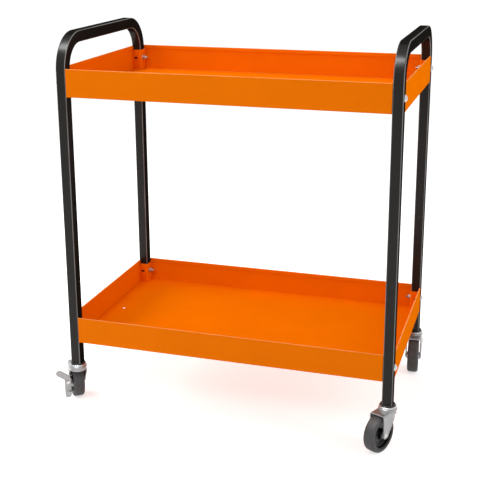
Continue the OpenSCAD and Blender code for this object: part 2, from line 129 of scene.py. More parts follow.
paper = bpy.data.materials.new("studio_paper")
paper.use_nodes = True
shader = paper.node_tree.nodes["Principled BSDF"]
shader.inputs["Base Color"].default_value = (0.8, 0.8, 0.8, 1)
shader.inputs["Roughness"].default_value = 0.9
shader.inputs["Specular IOR Level"].default_value = 0.1
shader.inputs["Emission Color"].default_value = (1, 1, 1, 1)
seen_apart(paper.node_tree, shader.inputs["Emission Strength"], PAPER_LIGHT, PAPER_SEEN)
sheet = bmesh.new()
bmesh.ops.create_grid(sheet, x_segments=1, y_segments=1, size=FLOOR_REACH)
floor_mesh = bpy.data.meshes.new("studio_floor")
sheet.to_mesh(floor_mesh)
sheet.free()
floor_mesh.materials.append(paper)
floor = bpy.data.objects.new("studio_floor", floor_mesh)
bpy.context.scene.collection.objects.link(floor)


# End frames
# Two lengths of 22 x 25 mm steel tube, each bent twice to an upside-down U, drilled for the tray
# bolts and for a third tray, and powder coated black. The bar at the top is the push handle.
tray_low, tray_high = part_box("upper_tray")
MID_X, MID_Y = (tray_low.x + tray_high.x) * 500, (tray_low.y + tray_high.y) * 500
TUBE_X, TUBE_Y, TUBE_WALL, TUBE_CORNER = 22, 25, 1.5, 2.5
LEG_X, LEG_Y, LEG_END, HANDLE_TOP, BEND, BEND_STEPS = 354, 202.5, 96, 839, 79, 20
LOWER_BOLT, SPARE_HOLE, UPPER_BOLT = 178, 471, 736
BOLT_HOLE_R, SPARE_HOLE_R, HOLE_BAND = 3.25, 3.5, 7
# The grey beside the black is a painted highlight along the rounded edges of the tube; the four
# numbers under it set where on the turn of the edge it lies.
FRAME_BLACK, ARRIS_HIGHLIGHT_GREY = (0.0112, 0.0101, 0.0087), (0.25, 0.245, 0.237)
ARRIS_RISE, ARRIS_FULL, ARRIS_FALL, ARRIS_END = 0.2, 0.55, 0.85, 0.98


def draw_out(work, edges, step):
    """Runs sheet on from a row of edges, straight along a step, and returns the new row."""
    made = bmesh.ops.extrude_edge_only(work, edges=edges)["geom"]
    points = {g for g in made if isinstance(g, bmesh.types.BMVert)}
    bmesh.ops.translate(work, vec=step, verts=list(points))
    return [g for g in made if isinstance(g, bmesh.types.BMEdge) and points.issuperset(g.verts)]


def fold(work, edges, centre, axis, degrees, steps):
    """Runs sheet on from a row of edges, bent round a centre, and returns the new row."""
    corners = {v for e in edges for v in e.verts}
    made = bmesh.ops.spin(work, geom=[*corners, *edges], cent=centre, axis=axis,
                          angle=math.radians(degrees), steps=steps)
    return [g for g in made["geom_last"] if isinstance(g, bmesh.types.BMEdge)]


def nearest_face(work, spot):
    """The face whose middle is nearest to a spot."""
    return min(work.faces, key=lambda f: (f.calc_center_median() - Vector(spot)).length)


def cut_hole(work, spot, radius, stretch=0.0, along=(0, 0, 1)):
    """Opens a round hole, or a slot along a direction, in the four-sided face nearest to a spot."""
    face = nearest_face(work, spot)
    centre, normal, sides = face.calc_center_median(), face.normal.copy(), face.edges[:]
    reach = [max(abs(v.co[k] - centre[k]) for v in face.verts) + 0.01 for k in range(3)]
    bmesh.ops.delete(work, geom=[face], context="FACES_ONLY")
    bmesh.ops.subdivide_edges(work, edges=sides, cuts=3)
    outer = [e for e in work.edges if len(e.link_faces) < 2 and all(
        abs(v.co[k] - centre[k]) < reach[k] for v in e.verts for k in range(3))]
    place = Matrix.Translation(centre) @ normal.to_track_quat("Z", "Y").to_matrix().to_4x4()
    ring = bmesh.ops.create_circle(work, segments=16, radius=radius, matrix=place)["verts"]
    for v in ring:
        side = (v.co - centre) @ Vector(along)
        v.co += Vector(along) * (stretch if side > 0 else -stretch)
    bmesh.ops.bridge_loops(work, edges=outer + list({e for v in ring for e in v.link_edges}))


def face_out(work, spot, normal):
    """Turns all faces of an open sheet so that the one nearest to a spot looks along the normal."""
    bmesh.ops.recalc_face_normals(work, faces=work.faces)
    work.normal_update()
    if nearest_face(work, spot).normal @ Vector(normal) < 0:
        bmesh.ops.reverse_faces(work, faces=work.faces)
    work.normal_update()


def round_off(work, geom, width, segments, affect="EDGES"):
    """Rounds edges or corners."""
    bmesh.ops.bevel(work, geom=geom, offset=width, offset_type="OFFSET", segments=segments,
                    profile=0.5, affect=affect, clamp_overlap=True, material=-1)


def soften(work, width, segments=2, angle=40):
    """Rounds every crease that is sharper than the angle."""
    work.normal_update()
    sharp = math.radians(angle)
    creases = [e for e in work.edges if len(e.link_faces) == 2 and e.calc_face_angle(0) > sharp]
    round_off(work, creases, width, segments)


def join(work, part, place=None):
    """Adds a shape that was finished on its own to a piece, moved to its place."""
    if place is not None:
        bmesh.ops.transform(part, matrix=place, verts=part.verts)
    carrier = bpy.data.meshes.new("part")
    part.to_mesh(carrier)
    part.free()
    work.from_mesh(carrier)
    bpy.data.meshes.remove(carrier)


def add_piece(name, work, finish, body, node, sharp=38):
    """Makes an object of a shape, ties it to its body, and hides the CAD node that it shows."""
    bmesh.ops.scale(work, vec=(0.001, 0.001, 0.001), verts=work.verts)
    work.normal_update()
    for face in work.faces:
        face.smooth = True
    for edge in work.edges:
        edge.smooth = len(edge.link_faces) == 2 and edge.calc_face_angle(0) < math.radians(sharp)
    mesh = bpy.data.meshes.new(name)
    work.to_mesh(mesh)
    work.free()
    mesh.materials.append(finish)
    piece = bpy.data.objects.new(name, mesh)
    bpy.context.scene.collection.objects.link(piece)
    shading = piece.modifiers.new("even_shading", "WEIGHTED_NORMAL")
    shading.keep_sharp = True
    shading.weight = 80
    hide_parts(node)
    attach(piece, body)


def blank_finish(name):
    """Starts a material: returns it, its node tree, its shader and the place on the piece."""
    finish = bpy.data.materials.new(name)
    finish.use_nodes = True
    tree = finish.node_tree
    place = tree.nodes.new("ShaderNodeTexCoord").outputs["Object"]
    return finish, tree, tree.nodes["Principled BSDF"], place


def clouds(tree, place, scale, detail=2):
    """A cloudy pattern over the piece, as a value."""
    pattern = tree.nodes.new("ShaderNodeTexNoise")
    pattern.inputs["Scale"].default_value = scale
    pattern.inputs["Detail"].default_value = detail
    tree.links.new(place, pattern.inputs["Vector"])
    return pattern.outputs["Fac"]


def ranged(tree, value, low, high, start=0, stop=1, kind="LINEAR"):
    """Turns the part of a value between start and stop into a value from low to high."""
    span = tree.nodes.new("ShaderNodeMapRange")
    span.interpolation_type = kind
    span.inputs["From Min"].default_value = start
    span.inputs["From Max"].default_value = stop
    span.inputs["To Min"].default_value = low
    span.inputs["To Max"].default_value = high
    tree.links.new(value, span.inputs["Value"])
    return span.outputs["Result"]


def two_tones(tree, value, start, stop, dark, light):
    """Turns a value into a colour between two tones."""
    tint = tree.nodes.new("ShaderNodeValToRGB")
    for end, at, tone in zip(tint.color_ramp.elements, (start, stop), (dark, light)):
        end.position = at
        end.color = (*tone, 1)
    tree.links.new(value, tint.inputs["Fac"])
    return tint.outputs["Color"]


def relief(tree, value, strength, distance, under=None):
    """Turns a value into the relief of a skin, on top of a coarser relief where there is one."""
    bump = tree.nodes.new("ShaderNodeBump")
    bump.inputs["Strength"].default_value = strength
    bump.inputs["Distance"].default_value = distance
    tree.links.new(value, bump.inputs["Height"])
    if under is not None:
        tree.links.new(under, bump.inputs["Normal"])
    return bump.outputs["Normal"]


def powder_coat(name, colour, specular, roughness, peel, shade):
    """Baked powder paint: faint clouds, a rippled skin, and gloss that fades where it is grazed."""
    paint, tree, shader, place = blank_finish(name)
    shader.inputs["Specular IOR Level"].default_value = specular
    facing = tree.nodes.new("ShaderNodeLayerWeight").outputs["Facing"]
    sheen = ranged(tree, facing, specular, 0, 0.25, 0.58, "SMOOTHSTEP")
    patches = clouds(tree, place, 9, 4)
    deep, light = [c * (1 - shade) for c in colour], [min(1, c * (1 + shade)) for c in colour]
    swell = relief(tree, clouds(tree, place, 26), 0.05, 0.002)
    skin = relief(tree, clouds(tree, place, 620), peel, 0.0003, swell)
    gloss = ranged(tree, patches, roughness - 0.06, roughness + 0.08)
    tree.links.new(sheen, shader.inputs["Specular IOR Level"])
    tree.links.new(two_tones(tree, patches, 0.3, 0.7, deep, light), shader.inputs["Base Color"])
    tree.links.new(skin, shader.inputs["Normal"])
    tree.links.new(gloss, shader.inputs["Roughness"])
    return paint


def paint_highlight(tree, place, mask, fineness, least, tone):
    """Paints a paler tone on as a highlight where the mask is white, more in some places."""
    highlight_patches = ranged(tree, clouds(tree, place, fineness), least, 1, 0.3, 0.7)
    amount = tree.nodes.new("ShaderNodeMath")
    amount.operation = "MULTIPLY"
    highlighted = tree.nodes.new("ShaderNodeMix")
    highlighted.data_type = "RGBA"
    highlighted.inputs["B"].default_value = (*tone, 1)
    base = tree.nodes["Principled BSDF"].inputs["Base Color"]
    tree.links.new(mask, amount.inputs[0])
    tree.links.new(highlight_patches, amount.inputs[1])
    tree.links.new(amount.outputs[0], highlighted.inputs["Factor"])
    tree.links.new(base.links[0].from_socket, highlighted.inputs["A"])
    tree.links.new(highlighted.outputs["Result"], base)


black_paint = powder_coat("black_powder_coat", FRAME_BLACK, 0.19, 0.24, 0.15, 0.12)
tree = black_paint.node_tree
# Painted highlight: a paler grey is mixed into the black on the rounded edges of the tube, where
# the surface turns partway to the side, more in some places than others.
place = tree.nodes.new("ShaderNodeTexCoord")
ways = tree.nodes.new("ShaderNodeSeparateXYZ")
side_on = tree.nodes.new("ShaderNodeMath")
side_on.operation = "ABSOLUTE"
arris_highlight = tree.nodes.new("ShaderNodeValToRGB")
ramp = arris_highlight.color_ramp.elements
ramp[0].position, ramp[0].color = ARRIS_RISE, (0, 0, 0, 1)
ramp[1].position, ramp[1].color = ARRIS_END, (0, 0, 0, 1)
ramp.new(ARRIS_FULL).color = (1, 1, 1, 1)
ramp.new(ARRIS_FALL).color = (1, 1, 1, 1)
tree.links.new(place.outputs["Normal"], ways.inputs["Vector"])
tree.links.new(ways.outputs["X"], side_on.inputs[0])
tree.links.new(side_on.outputs[0], arris_highlight.inputs["Fac"])
paint_highlight(tree, place.outputs["Object"], arris_highlight.outputs["Color"], 14, 0.55, ARRIS_HIGHLIGHT_GREY)
for side, at_x in (("left", MID_X - LEG_X), ("right", MID_X + LEG_X)):
    work = bmesh.new()
    bmesh.ops.create_grid(work, x_segments=1, y_segments=1, size=0.5)
    bmesh.ops.scale(work, vec=(TUBE_X, TUBE_Y, 1), verts=work.verts)
    round_off(work, work.verts[:], TUBE_CORNER, 5, "VERTICES")
    bmesh.ops.translate(work, vec=(at_x, MID_Y - LEG_Y, LEG_END), verts=work.verts)
    row = work.edges[:]
    bmesh.ops.delete(work, geom=work.faces[:], context="FACES_ONLY")
    stops = [LEG_END]
    for hole in (LOWER_BOLT, SPARE_HOLE, UPPER_BOLT):
        stops += [hole - HOLE_BAND, hole + HOLE_BAND]
    stops.append(HANDLE_TOP - BEND)
    for start, stop in zip(stops, stops[1:]):
        row = draw_out(work, row, (0, 0, stop - start))
    bend_y, bend_z = LEG_Y + TUBE_Y / 2 - BEND, HANDLE_TOP - BEND
    row = fold(work, row, (at_x, MID_Y - bend_y, bend_z), (1, 0, 0), -90, BEND_STEPS)
    row = draw_out(work, row, (0, 2 * bend_y, 0))
    row = fold(work, row, (at_x, MID_Y + bend_y, bend_z), (1, 0, 0), -90, BEND_STEPS)
    for start, stop in zip(stops[::-1], stops[-2::-1]):
        row = draw_out(work, row, (0, 0, stop - start))
    outer_wall = (at_x + TUBE_X / 2, MID_Y - LEG_Y, (SPARE_HOLE + UPPER_BOLT) / 2)
    face_out(work, outer_wall, (1, 0, 0))
    for leg_y in (MID_Y - LEG_Y, MID_Y + LEG_Y):
        for wall_x in (at_x - TUBE_X / 2, at_x + TUBE_X / 2):
            for hole, radius in ((LOWER_BOLT, BOLT_HOLE_R), (UPPER_BOLT, BOLT_HOLE_R),
                                 (SPARE_HOLE, SPARE_HOLE_R)):
                cut_hole(work, (wall_x, leg_y, hole), radius)
    face_out(work, outer_wall, (1, 0, 0))
    bmesh.ops.solidify(work, geom=work.faces[:], thickness=TUBE_WALL)
    soften(work, 0.3, 2, 50)
    add_piece(side + "_tube_frame", work, black_paint, "cart", side + "_frame")


# Trays
# Each is one sheet of 1 mm steel: a floor, four sides folded up and hemmed over along the rim, and
# a pocket of two flanges round every leg, one drilled for the bolt and one slotted. It is powder
# coated orange, with a paler painted highlight along the top of the rim.
HALF_L, HALF_W, SHEET, FOLD_R, TRAY_LIP, HEM_R, HEM_END = 365, 215, 1, 2.5, 60, 1.6, 51
LOWER_FLOOR, UPPER_FLOOR = 148, 706
NOTCH_X, NOTCH_Y, POCKET_TOP, POCKET_HOLE, POCKET_BAND, POCKET_BEND = 342.7, 189.7, 50, 30, 8, 1.6
SLOT_R, SLOT_STRETCH = 2.5, 2
HANG_X, HANG_Y, HANG_R, HANG_BAND = -329, 5, 3, 6
TRAY_ORANGE, RIM_HIGHLIGHT_TONE = (0.86, 0.178, 0.0003), (0.97, 0.36, 0.12)
RIM_START, RIM_FULL = 0.0013, 0.0004


def split(work, spot, way):
    """Draws new edges round a whole shape where a plane cuts it."""
    bmesh.ops.bisect_plane(work, geom=work.verts[:] + work.edges[:] + work.faces[:],
                           plane_co=spot, plane_no=way)


orange_paint = powder_coat("orange_powder_coat", TRAY_ORANGE, 0.025, 0.4, 0.14, 0.025)
tree = orange_paint.node_tree
place = tree.nodes.new("ShaderNodeTexCoord")
ways = tree.nodes.new("ShaderNodeSeparateXYZ")
height = tree.nodes.new("ShaderNodeMath")
height.operation = "WRAP"
height.inputs[1].default_value = (UPPER_FLOOR - LOWER_FLOOR) / 1000
height.inputs[2].default_value = 0
tree.links.new(place.outputs["Object"], ways.inputs["Vector"])
tree.links.new(ways.outputs["Z"], height.inputs[0])
# Painted highlight: a paler orange is mixed in along the top millimetre of each tray's hemmed rim,
# more in some places than others.
rim_z = (LOWER_FLOOR + TRAY_LIP) / 1000
rim_highlight = ranged(tree, height.outputs[0], 0, 1, rim_z - RIM_START, rim_z - RIM_FULL)
paint_highlight(tree, place.outputs["Object"], rim_highlight, 22, 0.5, RIM_HIGHLIGHT_TONE)
ALONG, ASIDE, UP = Vector((1, 0, 0)), Vector((0, 1, 0)), Vector((0, 0, 1))
for level_name, floor_z in (("upper", UPPER_FLOOR), ("lower", LOWER_FLOOR)):
    work = bmesh.new()
    bmesh.ops.create_grid(work, x_segments=1, y_segments=1, size=0.5)
    bmesh.ops.scale(work, vec=(2 * (HALF_L - FOLD_R), 2 * (HALF_W - FOLD_R), 1), verts=work.verts)
    for at, way in ((-NOTCH_X, ALONG), (NOTCH_X, ALONG), (-NOTCH_Y, ASIDE), (NOTCH_Y, ASIDE),
                    (HANG_X - HANG_BAND, ALONG), (HANG_X + HANG_BAND, ALONG),
                    (HANG_Y - HANG_BAND, ASIDE), (HANG_Y + HANG_BAND, ASIDE)):
        split(work, way * at, way)
    corners = [f for f in work.faces if abs(f.calc_center_median().x) > NOTCH_X
               and abs(f.calc_center_median().y) > NOTCH_Y]
    bmesh.ops.delete(work, geom=corners, context="FACES")
    cut_hole(work, (HANG_X, HANG_Y, 0), HANG_R)
    for out, reach in ((-ASIDE, HALF_W), (ASIDE, HALF_W), (-ALONG, HALF_L), (ALONG, HALF_L)):
        edge_at = reach - FOLD_R
        row = [e for e in work.edges if e.is_boundary
               and all(abs(v.co @ out - edge_at) < 0.01 for v in e.verts)]
        row = fold(work, row, out * edge_at + UP * FOLD_R, out.cross(UP), 90, 6)
        row = draw_out(work, row, UP * (TRAY_LIP - FOLD_R - HEM_R))
        hem_middle = out * (reach - HEM_R) + UP * (TRAY_LIP - HEM_R)
        row = fold(work, row, hem_middle, out.cross(UP), 180, 10)
        draw_out(work, row, UP * (HEM_END - TRAY_LIP + HEM_R))
    face_out(work, (100, 50, 0), (0, 0, -1))
    for sx in (-1, 1):
        for sy in (-1, 1):
            pocket = bmesh.new()
            points = [pocket.verts.new((sx * x, sy * y, 0)) for x, y in (
                (NOTCH_X, HALF_W - SHEET), (NOTCH_X, NOTCH_Y + 6), (NOTCH_X, NOTCH_Y),
                (NOTCH_X + 4, NOTCH_Y), (HALF_L - SHEET, NOTCH_Y))]
            row = [pocket.edges.new(pair) for pair in zip(points, points[1:])]
            for step in (POCKET_HOLE - POCKET_BAND, 2 * POCKET_BAND,
                         POCKET_TOP - POCKET_HOLE - POCKET_BAND):
                row = draw_out(pocket, row, (0, 0, step))
            flange = (sx * NOTCH_X, sy * LEG_Y)
            slotted = (sx * (HALF_L + NOTCH_X) / 2, sy * NOTCH_Y)
            face_out(pocket, (*flange, POCKET_HOLE), (sx, 0, 0))
            cut_hole(pocket, (*flange, POCKET_HOLE), BOLT_HOLE_R)
            cut_hole(pocket, (*slotted, POCKET_HOLE), SLOT_R, SLOT_STRETCH, ALONG)
            face_out(pocket, (*flange, 5), (sx, 0, 0))
            bend_line = [e for e in pocket.edges if all(
                abs(v.co.x - sx * NOTCH_X) < 0.01 and abs(v.co.y - sy * NOTCH_Y) < 0.01
                for v in e.verts)]
            round_off(pocket, bend_line, POCKET_BEND, 4)
            join(work, pocket)
    work.normal_update()
    bmesh.ops.solidify(work, geom=work.faces[:], thickness=SHEET)
    soften(work, 0.22, 2, 60)
    bmesh.ops.translate(work, vec=(MID_X, MID_Y, floor_z), verts=work.verts)
    add_piece(level_name + "_sheet_tray", work, orange_paint, "cart",
              level_name + "_tray")


# Tray bolts, washers and nuts
# Dome-headed steel bolts pushed in from outside through leg and pocket, each with a flat washer and
# a hexagon nut on the inside of the tray, a few turns of thread standing out. Bright zinc plate.
GRIP, BOLT_R, THREAD_ROOT, PITCH, THREADS = 23.3, 3, 2.45, 1, 5
DOME_R, DOME_H, DOME_RINGS, WASHER_R, WASHER_H, NUT_FLATS, NUT_H = 7.5, 5.5, 10, 7, 1.2, 10, 5
ZINC_TONE = (0.6, 0.605, 0.61)


def turned(work, profile, steps=48, place=None):
    """Spins a line of (radius, height) points round Z, as on a lathe, and moves it to its place."""
    part = bmesh.new()
    points = [part.verts.new((r, 0, z)) for r, z in profile]
    line = [part.edges.new(pair) for pair in zip(points, points[1:])]
    if profile[0][0] > 0:
        line.append(part.edges.new((points[-1], points[0])))
    bmesh.ops.spin(part, geom=points + line, cent=(0, 0, 0), axis=(0, 0, 1), angle=2 * math.pi,
                   steps=steps, use_merge=True)
    bmesh.ops.remove_doubles(part, verts=part.verts, dist=0.0005)
    bmesh.ops.recalc_face_normals(part, faces=part.faces)
    join(work, part, place)


def zinc_plate(name, tone, roughness, grain, depth):
    """Bright zinc: a pale metal with a cloudy crystal pattern and fine press and tumbling marks."""
    plate, tree, shader, place = blank_finish(name)
    shader.inputs["Metallic"].default_value = 0.75
    crystals = clouds(tree, place, grain, 6)
    marks = relief(tree, clouds(tree, place, grain * 9, 3), depth, 0.0002)
    tint = two_tones(tree, crystals, 0.35, 0.65, [c * 0.86 for c in tone], tone)
    gloss = ranged(tree, crystals, roughness - 0.07, roughness + 0.1)
    tree.links.new(tint, shader.inputs["Base Color"])
    tree.links.new(gloss, shader.inputs["Roughness"])
    tree.links.new(marks, shader.inputs["Normal"])
    return plate


zinc = zinc_plate("bright_zinc", ZINC_TONE, 0.24, 110, 0.1)
bolt_places = []
for sx in (-1, 1):
    for sy in (-1, 1):
        for bolt_z in (LOWER_BOLT, UPPER_BOLT):
            outward = Vector((sx, 0, 0)).to_track_quat("Z", "Y").to_matrix().to_4x4()
            head = (MID_X + sx * HALF_L, MID_Y + sy * LEG_Y, bolt_z)
            bolt_places.append(Matrix.Translation(head) @ outward)

ball_r = (DOME_R ** 2 + DOME_H ** 2) / (2 * DOME_H)
dome_turn = math.asin(DOME_R / ball_r) * 0.94 / (DOME_RINGS - 1)
bolt_line = [(ball_r * math.sin(k * dome_turn), DOME_H - ball_r + ball_r * math.cos(k * dome_turn))
             for k in range(DOME_RINGS)]
nut_end = -(GRIP + WASHER_H + NUT_H)
bolt_line += [(DOME_R, 0.5), (DOME_R - 0.2, 0), (BOLT_R, 0), (BOLT_R, nut_end + PITCH)]
for k in range(THREADS):
    bolt_line += [(THREAD_ROOT, nut_end + (0.5 - k) * PITCH), (BOLT_R, nut_end - k * PITCH)]
bolt_line += [(THREAD_ROOT, nut_end - 4.5), (THREAD_ROOT, nut_end - 4.7),
              (THREAD_ROOT - 0.3, nut_end - 5), (0, nut_end - 5)]
work = bmesh.new()
for place in bolt_places:
    turned(work, bolt_line, 40, place)
add_piece("dome_bolts", work, zinc, "cart", "tray_bolts", 30)

work = bmesh.new()
for place in bolt_places:
    turned(work, [(BOLT_R + 0.25, 0), (WASHER_R - 0.25, 0), (WASHER_R, 0.25),
                  (WASHER_R, WASHER_H - 0.3), (WASHER_R - 0.3, WASHER_H),
                  (BOLT_R + 0.25, WASHER_H)],
           40, place @ Matrix.Translation((0, 0, -GRIP - WASHER_H)))
add_piece("flat_washers", work, zinc, "cart", "tray_washers", 30)

work = bmesh.new()
for place in bolt_places:
    nut = bmesh.new()
    bmesh.ops.create_circle(nut, segments=6, radius=NUT_FLATS / 2 / math.cos(math.pi / 6))
    bmesh.ops.subdivide_edges(nut, edges=nut.edges[:], cuts=3)
    bmesh.ops.create_circle(nut, segments=24, radius=BOLT_R)
    ring = bmesh.ops.bridge_loops(nut, edges=nut.edges[:])["faces"]
    raised = bmesh.ops.extrude_face_region(nut, geom=ring)["geom"]
    bmesh.ops.translate(nut, vec=(0, 0, NUT_H),
                        verts=[g for g in raised if isinstance(g, bmesh.types.BMVert)])
    for v in nut.verts:
        chamfer = max(0, v.co.xy.length - NUT_FLATS / 2) * 0.55
        v.co.z += chamfer if v.co.z < NUT_H / 2 else -chamfer
    bmesh.ops.recalc_face_normals(nut, faces=nut.faces)
    join(work, nut, place @ Matrix.Translation((0, 0, nut_end)))
add_piece("hexagon_nuts", work, zinc, "cart", "tray_nuts", 25)


# Leg plugs
# A moulded black plug closes the end of every leg: a spigot inside the tube over a round flange,
# with the castor's stem pressed up its middle.
PLUG_R, PLUG_LOW, PLUG_H, SPIGOT_H, SPIGOT_PLAY, STEM_R = 16.4, 93, 3, 28, 0.4, 5
CASTORS = ("front_left", "front_right", "back_left", "back_right")
joints = {j["name"]: j for j in frame["joints"]}
castor_places = {}
for corner in CASTORS:
    swivel = Vector(joints[corner + "_swivel"]["pos_m"]) * 1000
    axle_way = joints[corner + "_wheel_spin"]["axis"]
    turn = Matrix.Rotation(math.atan2(axle_way[1], axle_way[0]), 4, "Z")
    castor_places[corner] = Matrix.Translation((swivel.x, swivel.y, 0)) @ turn


def moulded(name, colour, roughness, specular, grain, depth):
    """Moulded plastic or rubber: slight changes of shade, a satin skin and a fine grain."""
    stuff, tree, shader, place = blank_finish(name)
    shader.inputs["Specular IOR Level"].default_value = specular
    patches = clouds(tree, place, 45, 5)
    deep, light = [c * 0.85 for c in colour], [c * 1.12 for c in colour]
    tint = two_tones(tree, patches, 0.3, 0.7, deep, light)
    gloss = ranged(tree, patches, roughness - 0.07, roughness + 0.09)
    skin = relief(tree, clouds(tree, place, grain), depth, 0.0002)
    tree.links.new(tint, shader.inputs["Base Color"])
    tree.links.new(skin, shader.inputs["Normal"])
    tree.links.new(gloss, shader.inputs["Roughness"])
    return stuff


plug_black = moulded("plug_plastic", (0.012, 0.012, 0.012), 0.42, 0.4, 900, 0.15)
for corner in CASTORS:
    work = bmesh.new()
    turned(work, [(STEM_R, PLUG_LOW), (PLUG_R - 0.5, PLUG_LOW), (PLUG_R, PLUG_LOW + 0.6),
                  (PLUG_R, PLUG_LOW + 1.6), (PLUG_R - 0.6, PLUG_LOW + 2.6),
                  (PLUG_R - 1.6, PLUG_LOW + PLUG_H), (STEM_R, PLUG_LOW + PLUG_H)], 64)
    spigot = bmesh.new()
    bmesh.ops.create_cube(spigot, size=1)
    bore_x, bore_y = TUBE_X - 2 * TUBE_WALL, TUBE_Y - 2 * TUBE_WALL
    bmesh.ops.scale(spigot, vec=(bore_x - SPIGOT_PLAY, bore_y - SPIGOT_PLAY, SPIGOT_H),
                    verts=spigot.verts)
    upright = [e for e in spigot.edges if abs(e.verts[0].co.z - e.verts[1].co.z) > 1]
    round_off(spigot, upright, 1, 3)
    bmesh.ops.transform(work, matrix=castor_places[corner], verts=work.verts)
    middle = castor_places[corner].translation
    join(work, spigot, Matrix.Translation((middle.x, middle.y, LEG_END + SPIGOT_H / 2)))
    add_piece(corner + "_leg_end_plug", work, plug_black, "cart",
              corner + "_leg_plug")


# Swivel heads
# A pressed cup under the plug holds the balls down on the fork's own race, and the stem runs up
# through both and is riveted under the fork. Bright zinc, the balls of polished steel.
CUP_LOW, CUP_R = 89.4, 19


def dress(node, finish):
    """Gives its finish to a CAD node that is shown as it is."""
    solid = frame["nodes"][node].data
    solid.materials.clear()
    solid.materials.append(finish)


polished = zinc_plate("polished_steel", (0.72, 0.72, 0.72), 0.12, 240, 0.03)
for corner in CASTORS:
    work = bmesh.new()
    turned(work, [(STEM_R, CUP_LOW), (9.7, CUP_LOW), (10.7, 91), (15.3, 91), (15.9, CUP_LOW),
                  (CUP_R - 0.9, CUP_LOW), (CUP_R - 0.3, CUP_LOW + 0.2), (CUP_R, CUP_LOW + 0.8),
                  (CUP_R - 0.1, CUP_LOW + 1.4), (CUP_R - 0.6, CUP_LOW + 1.9),
                  (CUP_R - 0.9, CUP_LOW + 2.3), (CUP_R - 1.2, CUP_LOW + 3.1),
                  (CUP_R - 2, PLUG_LOW), (STEM_R, PLUG_LOW)], 72, castor_places[corner])
    add_piece(corner + "_ball_cup", work, zinc, "cart", corner + "_race_cup", 50)
    dress(corner + "_stem", zinc)
    dress(corner + "_balls", polished)


# Forks
# One steel pressing: a crown with the ball race raised in it, two legs folded down past the wheel
# to the axle, and a skirt round the leading side whose edge flares out along the legs.
CROWN, FORK_HALF, FORK_BACK, FORK_T, FORK_BEND, LEG_BLANK = 85.5, 17.75, 38, 2.5, 5, 30
AXLE, TIP_R, LEAN = Vector((0, 30, 40)), 8, 28
TIP_CUTS = (LEAN - 90, -50, -38, -25, -12, 0, 15, 30, 45, 60, 75)
SKIRT_FRONT, SKIRT_RISE, SKIRT_RUN, SKIRT_ROWS = 8, 6, 24, (77.5, 74, 70)
CREASE_LEAN, CREASE_Y, FLARE, FLARE_DROP, FLARE_RUN = 16, -3, 0.27, 9, 8
RACE_R, RACE_TOP, RACE_DEEP = 20, 89, 2.3
fork_zinc = zinc_plate("pressed_zinc", (0.37, 0.375, 0.38), 0.34, 70, 0.16)
for corner in CASTORS:
    work = bmesh.new()
    bmesh.ops.create_circle(work, segments=48, radius=FORK_HALF,
                            matrix=Matrix.Translation((0, 0, CROWN)))
    bmesh.ops.delete(work, geom=[v for v in work.verts if v.co.y > 0.01], context="VERTS")
    ends = [v for v in work.verts if len(v.link_edges) == 1]
    lip = [work.verts.new((math.copysign(FORK_HALF, v.co.x), FORK_BACK, CROWN)) for v in ends]
    for v, far in zip(ends, lip):
        work.edges.new((v, far))
    rim = work.edges[:]
    bmesh.ops.contextual_create(work, geom=rim + [work.edges.new(lip)])
    draw_out(work, rim[:], (0, 0, LEG_BLANK - CROWN))
    round_off(work, rim, FORK_BEND, 5)
    cuts = [Vector((0, math.sin(a), -math.cos(a)))
            for a in [math.radians(d) for d in TIP_CUTS]]
    for way in cuts:
        split(work, AXLE + way * TIP_R, way)
    for row_z in SKIRT_ROWS:
        split(work, (0, 0, row_z), (0, 0, 1))
    waste = []
    for f in work.faces:
        c = f.calc_center_median()
        drop = CROWN - c.z
        c -= AXLE
        c.x = 0
        skirt = SKIRT_FRONT + max(0, min(1, (c.y + 30) / SKIRT_RUN)) * SKIRT_RISE
        if drop > skirt and any(c @ way > TIP_R + 0.001 for way in cuts):
            waste.append(f)
    bmesh.ops.delete(work, geom=waste, context="FACES")
    lean = math.radians(CREASE_LEAN)
    crease_way = Vector((0, -math.cos(lean), -math.sin(lean)))
    for v in work.verts:
        below = CROWN - FORK_BEND - v.co.z
        if below > 0.1:
            past_crease = (v.co - AXLE - Vector((0, CREASE_Y, 0))) @ crease_way
            fade = min(1, below / FLARE_DROP) * min(1, max(0, (v.co.y + 14) / FLARE_RUN))
            v.co.x += math.copysign(max(0, past_crease) * FLARE * fade, v.co.x)
    face_out(work, (0, 10, CROWN), (0, 0, 1))
    bmesh.ops.solidify(work, geom=work.faces[:], thickness=FORK_T)
    soften(work, 0.5, 2, 55)
    race_floor = RACE_TOP - RACE_DEEP
    turned(work, [(STEM_R + 3, CROWN - 1), (RACE_R - 0.4, CROWN - 1), (RACE_R, CROWN + 0.4),
                  (RACE_R, CROWN + 1.2), (RACE_R - 0.7, CROWN + 1.9),
                  (RACE_R - 0.8, RACE_TOP - 0.9), (RACE_R - 1.4, RACE_TOP - 0.2),
                  (RACE_R - 2.2, RACE_TOP), (15.2, RACE_TOP), (15, race_floor),
                  (10.8, race_floor), (10.6, RACE_TOP), (STEM_R + 3, RACE_TOP)], 72)
    bmesh.ops.transform(work, matrix=castor_places[corner], verts=work.verts)
    add_piece(corner + "_pressed_fork", work, fork_zinc, corner + "_castor",
              corner + "_fork", 50)


